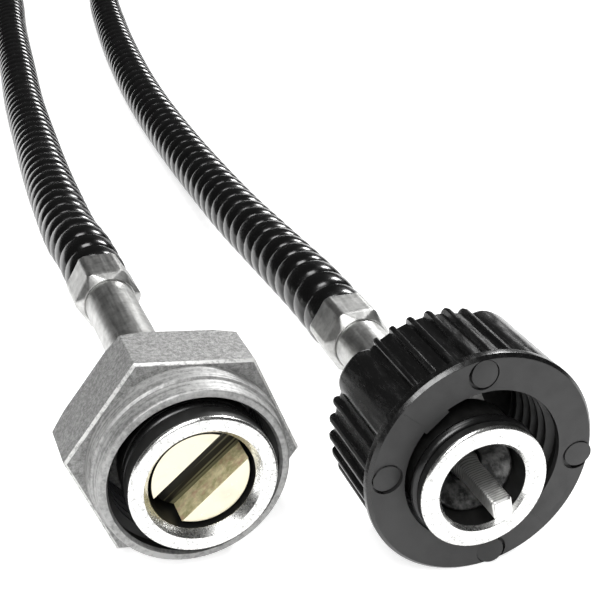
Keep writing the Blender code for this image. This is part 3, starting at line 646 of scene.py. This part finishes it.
class DRIVECABLE_OT_cover(bpy.types.Operator):
    """Lay the ribbed cover from one crimp to the other"""

    bl_idname = "drive_cable.cover"
    bl_label = "Ribbed Cover"

    # Height of the cover along one rib, as shares of the pitch and of the rib's height
    rib = ((0, 0), (0.07, 0.42), (0.18, 0.8), (0.33, 0.97), (0.5, 1), (0.67, 0.97), (0.82, 0.8),
           (0.93, 0.42))
    # How far the cover reaches into each crimp
    overlap = 0.25 * MM
    round_steps = 14
    path_step = 4

    def route(self):
        """A smooth curve through the route, straight where it leaves each crimp."""
        along = np.array((0, 1, 0))
        start, stop = np.array(COVER_START), np.array(COVER_STOP)
        lying = np.array((0, 0, sizes().cover_crest))
        middle = [np.array(point) + lying for point in ROUTE]
        knots = [start, start + along * STRAIGHT_END, *middle, stop + along * STRAIGHT_END, stop]
        outer = [start - along * STRAIGHT_END, *knots, stop - along * STRAIGHT_END]
        curve = []
        for p0, p1, p2, p3 in zip(outer, outer[1:], outer[2:], outer[3:]):
            d1, d2, d3 = (math.sqrt(np.linalg.norm(b - a)) for a, b in ((p0, p1), (p1, p2), (p2, p3)))
            t1 = (p1 - p0) / d1 - (p2 - p0) / (d1 + d2) + (p2 - p1) / d2
            t2 = (p2 - p1) / d2 - (p3 - p1) / (d2 + d3) + (p3 - p2) / d3
            for s in np.linspace(0, 1, SAMPLES_PER_SPAN, endpoint=False):
                h = (2 * s**3 - 3 * s**2 + 1, s**3 - 2 * s**2 + s, 3 * s**2 - 2 * s**3, s**3 - s**2)
                curve.append(h[0] * p1 + h[1] * t1 * d2 + h[2] * p2 + h[3] * t2 * d2)
        curve = np.array([*curve, stop])
        curve[:, 2] = np.maximum(curve[:, 2], sizes().cover_crest)
        return curve

    def execute(self, context):
        curve = self.route()
        lengths = np.concatenate([[0], np.cumsum(np.linalg.norm(np.diff(curve, axis=0), axis=1))])
        first, last = -self.overlap, lengths[-1] + self.overlap
        curve = np.array([curve[0] - (0, self.overlap, 0), *curve, curve[-1] - (0, self.overlap, 0)])
        lengths = np.array([first, *lengths, last])
        pitch = (last - first) / sizes().ribs
        places, rises = [], []
        for k in range(sizes().ribs):
            places += [first + (k + share) * pitch for share, rise in self.rib]
            rises += [rise for share, rise in self.rib]
        places, rises = places + [last], rises + [0]
        height = sizes().cover_crest - sizes().cover_valley
        points = np.stack([np.interp(places, lengths, curve[:, k]) for k in range(3)], axis=1)
        bpy.ops.object.select_all(action="DESELECT")
        line = bpy.data.curves.new("ribbed_cover", "CURVE")
        line.dimensions = "3D"
        line.twist_mode = "Z_UP"
        line.bevel_depth = 1
        line.bevel_resolution = self.round_steps
        line.use_fill_caps = True
        spline = line.splines.new("POLY")
        spline.points.add(len(points) - 1)
        for knot, place, rise in zip(spline.points, points, rises):
            knot.co = (*place, 1)
            knot.radius = sizes().cover_valley + height * rise
        cover = bpy.data.objects.new("ribbed_cover", line)
        context.scene.collection.objects.link(cover)
        pick(cover)
        bpy.ops.object.convert(target="MESH")
        cover = context.active_object
        edit(cover)
        close_up()
        finish(cover, vinyl_cover, "cable", "cover_plastic", "casing_hex_side", "casing_loop",
               "casing_knurled_side")
        return {"FINISHED"}


class DRIVECABLE_OT_hexagon_nut(bpy.types.Operator):
    """Cast the hexagon nut with its stepped collar and thread"""

    bl_idname = "drive_cable.hexagon_nut"
    bl_label = "Hexagon Nut"

    # Trims the hexagon's corners in front and behind
    envelope = ((0, 6.0), (10.4, 6.0), (12.45, 6.4), (12.45, 12.4), (11.1, 13.2), (0, 13.2))
    collar = ((0, 2.3), (9.55, 2.3, 0.25), (9.7, 3.7, 0.3), (9.76, 4.2, 0.1), (10.0, 4.35, 0.15),
              (10.1, 6.7), (0, 6.7))
    bore = ((0, 1.8), (9.08, 1.8), (8.6, 2.75), (9.0, 3.15), (9.0, 11.4), (8.6, 11.8, 0.2),
            (3.94, 11.8, 0.1), (3.94, 14), (0, 14))
    # The hexagon's front, where its chamfered front edge ends, the front's share of its width, and its
    # untrimmed back
    front, worn_back, worn_share, untrimmed_back = 6.32, 6.6, 0.974, 14
    edge_width, edge_angle = 0.1 * MM, math.radians(50)
    thread_start, thread_turns = 3.9, 5
    # Where the finishes lie: the collar's end, the painted highlight on the front edges and the painted
    # shade in the bore
    trimmed_end = 6.3
    worn_inside, worn_end, worn_slant = 10.2, 7, (-0.9, -0.3)
    grease_outside, grease_front, grease_end, flat_normal = 9.05, 2.9, 12, 0.99

    def is_worn(self, radius, back, normal):
        steep, shallow = self.worn_slant
        return radius > self.worn_inside and back < self.worn_end and steep < normal.y < shallow

    def is_greased(self, radius, back, normal):
        inside = radius < self.grease_outside and self.grease_front < back < self.grease_end
        return inside and abs(normal.y) < self.flat_normal

    def execute(self, context):
        axis = HEX_NUT_AXIS
        corner = sizes().across_flats / math.sqrt(3) * self.worn_share
        turns = [math.radians(60 * k) + sizes().nut_turn for k in range(6)]
        hexagon = [(corner * math.cos(a), corner * math.sin(a)) for a in turns]
        nut = drawn_out("cast_hexagon_nut", hexagon, axis, self.front,
                        (self.worn_back, 1 / self.worn_share), (self.untrimmed_back, 1))
        break_edges(nut, self.edge_width, self.edge_angle)
        combine(nut, "INTERSECT", turned("hexagon_trim", self.envelope, axis))
        combine(nut, "UNION", turned("hexagon_collar", self.collar, axis))
        bore_out(nut, turned("hexagon_bore", self.bore, axis),
                 thread_ridge("hexagon_thread", axis, self.thread_start, self.thread_turns))
        finish(nut, die_cast_zinc, "hex_union_nut", "cast_zinc", "hex_nut")
        coat(nut, trimmed_zinc, axis, lambda radius, back, normal: back < self.trimmed_end)
        # Painted highlight: a pale line along the nut's slanted front edges, broken by dark nicks
        coat(nut, worn_zinc, axis, self.is_worn)
        # Painted shade: near black in the nut's bore, where shade falls
        coat(nut, black_grease, axis, self.is_greased)
        return {"FINISHED"}


class DRIVECABLE_OT_grip_nut(bpy.types.Operator):
    """Mould the grip nut with its ridges, lobes, flange, pin marks and thread"""

    bl_idname = "drive_cable.grip_nut"
    bl_label = "Grip Nut"

    crest, lobe_crest = 11.7, 12.1
    lobe_angle = math.radians(28)
    lobe_rounding = 3
    lobe_points = 19
    lobe_turn = math.radians(55)
    ridge_share = 0.42
    # Section of one ridge, as shares of its half width and of its height
    ridge = ((-1, 0), (-0.86, 0.3), (-0.66, 0.82), (-0.36, 0.98), (0, 1), (0.36, 0.98), (0.66, 0.82),
             (0.86, 0.3), (1, 0))
    # The grip's front, and its rows behind that: distance behind the face and share of the row before
    front = 3.2
    rows = ((13.9, 0.992), (14.45, 0.986), (14.72, 0.97), (14.8, 0.975))
    face = 2.6
    flange = ((0, 2.6), (11.74, 2.6, 0.12), (12.1, 2.98, 0.12), (12.1, 3.72, 0.15), (11.8, 3.95, 0.1),
              (0, 3.95))
    bore = ((0, 1.5), (8.32, 1.5), (8.32, 3.2), (9.0, 3.6), (9.0, 12.7), (8.7, 13.0, 0.2),
            (4.635, 13.0, 0.1), (4.635, 16), (0, 16))
    thread_start, thread_turns = 4.4, 5
    # Marks of the mould's ejector pins: distance from the axis, place round it, two tilts and wide side
    pins = ((10.33, 93, 5.0, -4.0, -125), (10.62, -5, -4.0, 5.0, -140), (10.45, -82, 4.0, 6.0, -10),
            (10.25, 175, -5.0, -4.0, -60))
    pin_slack = 0.15
    pin_pocket = ((0, -0.5), (1.6, -0.5), (1.6, 0.4), (0, 0.4))
    pin_plug = ((0, -0.04), (1.42, -0.04, 0.05), (1.42, 0.6), (0, 0.6))
    pin_sides = 40
    # Tab on the face's inner edge: its shape as a bar, place round the axis, front and back
    tab, tab_place, tab_front, tab_back = (7.85, 9.0, 1.5), 131, 2.62, 3.5
    # Fine lines on the face where the plastic met itself in the mould
    weld, weld_places, weld_front, weld_back = (8.6, 11.45, 0.06), (139, -49), 2.56, 3.0
    # Where the finishes lie: the polished sides, painted darker as shade, and the painted shade in the bore
    polish_inside, polish_front = 10.5, 2.7
    grease_outside, grease_front, grease_end = 9.1, 3.2, 13.5

    def grip_outline(self):
        """Points round the grip, from lobe to lobe."""
        height = sizes().grip_ridge_height / MM
        valley = self.crest - height
        sector = FULL_TURN / sizes().grip_lobes
        pitch = (sector - self.lobe_angle) / sizes().grip_ridges
        half = pitch * self.ridge_share / 2
        points = []
        for lobe in range(sizes().grip_lobes):
            middle = self.lobe_turn + lobe * sector
            for share in np.linspace(-1, 1, self.lobe_points):
                drop = (self.lobe_crest - valley) * abs(share) ** self.lobe_rounding
                points.append((self.lobe_crest - drop, middle + self.lobe_angle / 2 * share))
            first = middle + (self.lobe_angle + pitch) / 2
            for k in range(sizes().grip_ridges):
                points += [(valley + height * rise, first + k * pitch + half * side)
                           for side, rise in self.ridge]
        return [(radius * MM * math.cos(a), radius * MM * math.sin(a)) for radius, a in points]

    def mark_pin(self, nut, radius, place, lean, nod, wide):
        """Leaves one pin's mark: a plug, a little tilted, in a pocket with its gap wider on one side."""
        a, b = math.radians(place), math.radians(wide)
        spot = GRIP_NUT_AXIS + Vector((radius * math.cos(a), self.face, radius * math.sin(a))) * MM
        aside = Vector((math.cos(b), 0, math.sin(b))) * self.pin_slack * MM
        combine(nut, "DIFFERENCE", turned("pin_pocket", self.pin_pocket, spot + aside, self.pin_sides))
        plug = turned("pin_plug", self.pin_plug, spot, self.pin_sides)
        edit(plug)
        bpy.ops.transform.rotate(value=math.radians(lean), orient_axis="X", center_override=spot)
        bpy.ops.transform.rotate(value=math.radians(nod), orient_axis="Z", center_override=spot)
        bpy.ops.object.mode_set(mode="OBJECT")
        combine(nut, "UNION", plug)

    def is_polished(self, radius, back, normal):
        return radius > self.polish_inside and back > self.polish_front

    def is_greased(self, radius, back, normal):
        return radius < self.grease_outside and self.grease_front < back < self.grease_end

    def execute(self, context):
        axis = GRIP_NUT_AXIS
        nut = drawn_out("moulded_grip_nut", self.grip_outline(), axis, self.front, *self.rows)
        combine(nut, "UNION", turned("grip_flange", self.flange, axis))
        tab = bar("grip_tab", self.tab, math.radians(self.tab_place), axis, self.tab_front, self.tab_back)
        bore_out(nut, turned("grip_bore", self.bore, axis), tab,
                 thread_ridge("grip_thread", axis, self.thread_start, self.thread_turns))
        for place in self.weld_places:
            line = bar("weld_line", self.weld, math.radians(place), axis, self.weld_front, self.weld_back)
            combine(nut, "UNION", line)
        for pin in self.pins:
            self.mark_pin(nut, *pin)
        finish(nut, moulded_polyamide, "grip_union_nut", "moulded_plastic", "knurled_nut")
        # Painted shade: the polished sides are coloured darker than the face, which is coloured paler as
        # painted light; their roughness differs for real
        coat(nut, polished_polyamide, axis, self.is_polished)
        # Painted shade: near black in the grip nut's bore, where shade falls
        coat(nut, black_grease, axis, self.is_greased)
        return {"FINISHED"}


class DRIVECABLE_OT_ferrules(bpy.types.Operator):
    """Turn both ferrules and set their rubber rings"""

    bl_idname = "drive_cable.ferrules"
    bl_label = "Ferrules and Rings"

    driver_end = ((5.95, 0, 0.1), (7.4, 0, 0.38), (7.4, 2.2, 0.15), (6.0, 2.2), (6.0, 3.9), (7.2, 3.9, 0.15),
                  (7.2, 6.2, 0.3), (4.6, 6.2), (4.6, 7.6, 0.2), (3.4, 7.6), (3.4, 6.4), (2.4, 6.4),
                  (2.4, 6.0), (5.35, 6.0), (5.35, 0.85, 0.06))
    tip_end = ((4.86, 0, 0.15), (6.65, 0, 0.35), (6.65, 1.2, 0.12), (5.15, 1.2), (5.15, 3.0),
               (6.2, 3.0, 0.15), (6.2, 6.6, 0.3), (4.4, 6.6), (4.4, 8.2, 0.2), (3.4, 8.2), (3.4, 6.5),
               (1.85, 6.5), (1.85, 6.0), (4.5, 6.0), (4.5, 0.42, 0.1))
    # Ferrules: name, CAD node, axis, profile and the two radii that painted shade lies outside and inside of
    ferrules = (("driver_ferrule", "hex_end_ferrule", DRIVER_FACE, driver_end, 5.96, 5.4),
                ("tip_ferrule", "knurled_end_ferrule", TIP_FACE, tip_end, 5.1, 4.6))
    # How far behind the face the painted shade starts on the side and in the chamber
    side_start, chamber_start = 0.4, 0.9
    # Rubber rings: name, CAD node, axis, and the section's radius, place behind the face and half thickness
    rings = (("driver_ferrule_ring", "hex_end_seal_ring", DRIVER_FACE, 6.85, 3.05, 0.55),
             ("tip_ferrule_ring", "knurled_end_seal_ring", TIP_FACE, 6.2, 2.1, 0.62))
    ring_points = 24
    flash = 0.03

    def section(self, radius, back, half):
        """Section of a moulded ring, with the fine flash where the mould closed."""
        points = []
        for k in range(self.ring_points):
            a = FULL_TURN * k / self.ring_points
            reach = half + (self.flash if k in (0, self.ring_points // 2) else 0)
            points.append((radius + reach * math.cos(a), back + reach * math.sin(a)))
        return points

    def execute(self, context):
        for name, cad, axis, profile, outside, inside in self.ferrules:
            ferrule = turned(name, profile, axis)
            finish(ferrule, bright_zinc_plate, "cable", "bright_plate", cad)
            # Painted shade: near black on the ferrule's side inside the nut and in its chamber, where shade
            # falls
            coat(ferrule, black_grease, axis, lambda radius, back, normal: (
                radius > outside and back > self.side_start
                or radius < inside and back > self.chamber_start))
        for name, cad, axis, radius, back, half in self.rings:
            ring = turned(name, self.section(radius, back, half), axis)
            finish(ring, nitrile_rubber, "cable", "rubber", cad)
        return {"FINISHED"}


class DRIVECABLE_OT_driver(bpy.types.Operator):
    """Turn the driver and cut its slot"""

    bl_idname = "drive_cable.driver"
    bl_label = "Slotted Driver"

    profile = ((0, 1.3), (4.95, 1.3, 0.12), (4.95, 4.9, 0.1), (2.1, 4.9), (2.1, 13.5, 0.1), (1.5, 13.5),
               (1.5, 8.0), (0, 8.0))
    slot_reach, slot_front, slot_floor = 7.0, 1.0, 4.4
    edge_width, edge_angle = 0.07 * MM, math.radians(40)
    # Where the finishes lie: inside the slot, on its floor and, as painted shade, round the driver's side
    slot_outside, slot_start, floor_depth, facing = 4.9, 1.4, 0.05, 0.5
    side = 4.86

    def is_slot_wall(self, radius, back, normal):
        inside = radius < self.slot_outside and self.slot_start < back < self.slot_floor
        return inside and abs(normal.y) < self.facing

    def is_slot_floor(self, radius, back, normal):
        inside = radius < self.slot_outside and abs(back - self.slot_floor) < self.floor_depth
        return inside and normal.y < -self.facing

    def execute(self, context):
        driver = turned("driver", self.profile, DRIVER_FACE)
        shape = (-self.slot_reach, self.slot_reach, sizes().slot_width / MM / 2)
        slot = bar("driver_slot", shape, sizes().slot_turn, DRIVER_FACE, self.slot_front, self.slot_floor)
        combine(driver, "DIFFERENCE", slot)
        break_edges(driver, self.edge_width, self.edge_angle)
        finish(driver, chromated_zinc, "slotted_drive", "chromated_zinc", "slotted_driver")
        coat(driver, thick_chromate, DRIVER_FACE, self.is_slot_wall)
        # Painted shade: near black round the driver's side, deep inside the ferrule
        coat(driver, black_grease, DRIVER_FACE, lambda radius, back, normal: radius > self.side)
        coat(driver, oiled_cut, DRIVER_FACE, self.is_slot_floor)
        return {"FINISHED"}


class DRIVECABLE_OT_square_tip(bpy.types.Operator):
    """Swage the wound core's end square and set its bush"""

    bl_idname = "drive_cable.square_tip"
    bl_label = "Square Tip"

    front, square_back, round_back, core_back = -3.5, 2.7, 4.7, 36.7
    core_radius = 1.55
    # The end's chamfer, the first turn's distance behind the end, and the groove between turns
    chamfer, first_turn, groove = 0.3, 0.18, 0.04
    # How square the tip is: 2 gives a circle, and more gives sharper corners
    corner_power = 9
    sides = 64
    end_depth = 0.05
    bush = ((3.95, 2.6, 0.1), (4.2, 2.6, 0.1), (4.2, 5.7, 0.1), (1.85, 5.7), (1.85, 4.4, 0.1))

    def wound(self):
        """Profile of the core's end, with a groove between each two turns."""
        corners = [(0, self.front), (self.core_radius - self.chamfer, self.front)]
        at = self.front + self.first_turn
        while at < self.round_back:
            corners += [(self.core_radius, at), (self.core_radius - self.groove, at + WINDING_PITCH / 2)]
            at += WINDING_PITCH
        return corners + [(self.core_radius, at), (self.core_radius, self.core_back), (0, self.core_back)]

    def swage(self, tip):
        """Presses the round core square in front, and less and less behind."""
        half, power = sizes().tip_square / MM / 2, self.corner_power
        for corner in tip.data.vertices:
            local = (corner.co - TIP_FACE) / MM
            a = math.atan2(local.z, local.x) - sizes().tip_turn
            square = half * (abs(math.cos(a)) ** power + abs(math.sin(a)) ** power) ** (-1 / power)
            share = min(max((self.round_back - local.y) / (self.round_back - self.square_back), 0), 1)
            scale = 1 + share * (square / self.core_radius - 1)
            corner.co = TIP_FACE + Vector((local.x * scale, local.y, local.z * scale)) * MM

    def execute(self, context):
        tip = turned("square_tip", self.wound(), TIP_FACE, self.sides)
        self.swage(tip)
        finish(tip, wound_steel_wire, "square_drive", "wound_steel", "core_square_tip")
        coat(tip, bright_zinc_plate, TIP_FACE,
             lambda radius, back, normal: back < self.front + self.end_depth)
        bush = turned("tip_bush", self.bush, TIP_FACE)
        # Painted shade: the bush deep inside the ferrule is coloured dark grey
        finish(bush, greased_steel, "cable", "dull_steel", "core_bush")
        return {"FINISHED"}


class DRIVECABLE_OT_tubes(bpy.types.Operator):
    """Draw both bare tubes and press their crimp sleeves"""

    bl_idname = "drive_cable.tubes"
    bl_label = "Tubes and Crimps"

    # Radii, and the distance from the sleeve's axis to its flats
    bore, tube, socket, round_sleeve, flat = 2.5, 3.1, 3.14, 4.12, 3.7
    # Ends: name, axis, CAD name and the tube's front behind the face
    ends = (("driver_end", DRIVER_FACE, "hex_end", 6.7), ("tip_end", TIP_FACE, "knurled_end", 6.8))
    socket_depth, tube_reach = 2.0, 1.7
    nose_radius, nose_length, nose_rows = 3.3, 1.1, 8
    first_row, last_row, rows = 0.1, 0.9, 9
    tube_sides, sleeve_sides = 96, 144
    # How far the flats draw in over the nose, as a share of the nose's own taper
    follow = 0.5
    # Keeps the nose's front edge among the points that are pressed
    edge_tolerance = 0.01

    def tube_profile(self, front, back):
        return ((self.bore, front), (self.tube, front, 0.1), (self.tube, back, 0.1), (self.bore, back))

    def sleeve_profile(self, front, back):
        """A plain sleeve with rows for the press to shape."""
        nose = front + self.nose_length
        widening = self.round_sleeve - self.nose_radius
        cone = [(self.nose_radius + share * widening, front + share * self.nose_length)
                for share in np.linspace(0, 1, self.nose_rows)]
        rows = [(self.round_sleeve, nose + share * (back - nose))
                for share in np.linspace(self.first_row, self.last_row, self.rows)]
        step = front + self.socket_depth
        return [(self.socket, front), *cone, *rows, (self.round_sleeve, back, 0.3), (self.bore, back),
                (self.bore, step), (self.socket, step)]

    def press(self, sleeve, axis):
        """Presses six flats into a round sleeve, with one flat on top."""
        for corner in sleeve.data.vertices:
            across = Vector((corner.co.x - axis.x, corner.co.z - axis.z)) / MM
            a = math.atan2(across.y, across.x) % math.radians(60) - math.radians(30)
            room = self.flat / math.cos(a) - (self.round_sleeve - across.length) * self.follow
            if across.length > self.nose_radius - self.edge_tolerance and across.length > room:
                across = across.normalized() * room
                corner.co = (axis.x + across.x * MM, corner.co.y, axis.z + across.y * MM)

    def execute(self, context):
        for name, axis, end, tube_front in self.ends:
            low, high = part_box(f"{end}_crimp_sleeve")
            front, back = (low.y - axis.y) / MM, (high.y - axis.y) / MM
            profile = self.tube_profile(tube_front, front + self.tube_reach)
            tube = turned(f"{name}_tube", profile, axis, self.tube_sides)
            finish(tube, drawn_steel, "cable", "dull_steel", f"{end}_tube")
            sleeve = turned(f"{name}_crimp", self.sleeve_profile(front, back), axis, self.sleeve_sides)
            self.press(sleeve, axis)
            finish(sleeve, drawn_steel, "cable", "dull_steel", f"{end}_crimp_sleeve")
        return {"FINISHED"}


class DRIVECABLE_OT_inner_pieces(bpy.types.Operator):
    """Give the inner pieces that keep their CAD shape their finishes"""

    bl_idname = "drive_cable.inner_pieces"
    bl_label = "Inner Pieces"

    kept = {
        "hex_nut_slip_washer": drawn_steel, "knurled_nut_slip_washer": drawn_steel,
        "driver_thrust_washer": sintered_bronze, "core_stop_collar": drawn_steel,
        "casing_conduit": drawn_steel, "core_hex_end": wound_steel_wire, "core_middle": wound_steel_wire,
    }

    def execute(self, context):
        for name, make in self.kept.items():
            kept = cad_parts[name]
            kept.data.materials.clear()
            kept.data.materials.append(finish_of(make))
        return {"FINISHED"}


class DRIVECABLE_OT_studio(bpy.types.Operator):
    """Set the floor, the soft lights and the camera"""

    bl_idname = "drive_cable.studio"
    bl_label = "Studio"

    floor_size = 6
    camera_place = (-0.03864, -0.1149, 0.080)
    camera_turn = (math.radians(64), 0, math.radians(-20))
    lens, nearest = 75.6, 0.005
    # The surroundings: their colour, how strongly they light the object, and a lift for the camera alone,
    # which sees them as bright as the far floor, so that no edge shows where the floor ends
    world_grey, world_strength, backdrop_lift = "#E6E6E6", 0.04, 0.9
    # Soft boxes: name, place, the point that each faces, width and power in watts
    boxes = (("key", (-0.25, -0.5, 0.6), (0, 0, 0.01), 0.4, 6),
             ("top", (-0.1, 0.05, 0.8), (0, 0.05, 0.01), 0.3, 3),
             ("back", (0.5, 0.5, 0.5), (0, 0.15, 0.01), 0.2, 5))

    def execute(self, context):
        bpy.ops.object.select_all(action="DESELECT")
        bpy.ops.mesh.primitive_plane_add(size=self.floor_size)
        floor = context.active_object
        floor.name = "studio_floor"
        floor.data.materials.append(paper_floor())
        for name, place, target, width, power in self.boxes:
            bpy.ops.object.light_add(type="AREA", location=place)
            box = context.active_object
            box.name = f"soft_box_{name}"
            box.data.size = width
            box.data.energy = power
            box.rotation_euler = (Vector(target) - Vector(place)).to_track_quat("-Z", "Y").to_euler()
        bpy.ops.object.camera_add(location=self.camera_place, rotation=self.camera_turn)
        camera = context.active_object
        camera.data.lens = self.lens
        camera.data.clip_start = self.nearest
        context.scene.camera = camera
        world = bpy.data.worlds.new("studio")
        world.use_nodes = True
        tree = world.node_tree
        light = tree.nodes["Background"]
        light.inputs["Color"].default_value = linear(self.world_grey)
        path = node(tree, "ShaderNodeLightPath")
        glow = node(tree, "ShaderNodeMath", {0: path.outputs["Is Camera Ray"], 1: self.backdrop_lift,
                                             2: self.world_strength}, operation="MULTIPLY_ADD")
        tree.links.new(glow.outputs[0], light.inputs["Strength"])
        context.scene.world = world
        context.scene.view_settings.view_transform = "Standard"
        return {"FINISHED"}


MAKERS = (DRIVECABLE_OT_studio, DRIVECABLE_OT_cover, DRIVECABLE_OT_hexagon_nut, DRIVECABLE_OT_grip_nut,
          DRIVECABLE_OT_ferrules, DRIVECABLE_OT_driver, DRIVECABLE_OT_square_tip, DRIVECABLE_OT_tubes,
          DRIVECABLE_OT_inner_pieces)


class DRIVECABLE_PT_sidebar(bpy.types.Panel):
    """Lists the cable's pieces, sizes and colours"""

    bl_idname = "DRIVECABLE_PT_sidebar"
    bl_label = "Drive Cable"
    bl_space_type = "VIEW_3D"
    bl_region_type = "UI"
    bl_category = "Drive Cable"

    def draw(self, context):
        for maker in MAKERS:
            self.layout.operator(maker.bl_idname)
        for group in (sizes(), colours()):
            column = self.layout.column(align=True)
            for name in group.__annotations__:
                column.prop(group, name)


CLASSES = (DriveCableSizes, DriveCableColours, *MAKERS, DRIVECABLE_PT_sidebar)


def register():
    for made in CLASSES:
        bpy.utils.register_class(made)
    bpy.types.Scene.drive_cable_sizes = PointerProperty(type=DriveCableSizes)
    bpy.types.Scene.drive_cable_colours = PointerProperty(type=DriveCableColours)


def unregister():
    del bpy.types.Scene.drive_cable_colours
    del bpy.types.Scene.drive_cable_sizes
    for made in reversed(CLASSES):
        bpy.utils.unregister_class(made)


def main():
    """Builds everything in order."""
    register()
    bpy.ops.drive_cable.studio()
    bpy.ops.drive_cable.cover()
    bpy.ops.drive_cable.hexagon_nut()
    bpy.ops.drive_cable.grip_nut()
    bpy.ops.drive_cable.ferrules()
    bpy.ops.drive_cable.driver()
    bpy.ops.drive_cable.square_tip()
    bpy.ops.drive_cable.tubes()
    bpy.ops.drive_cable.inner_pieces()


if __name__ == "__main__":
    main()
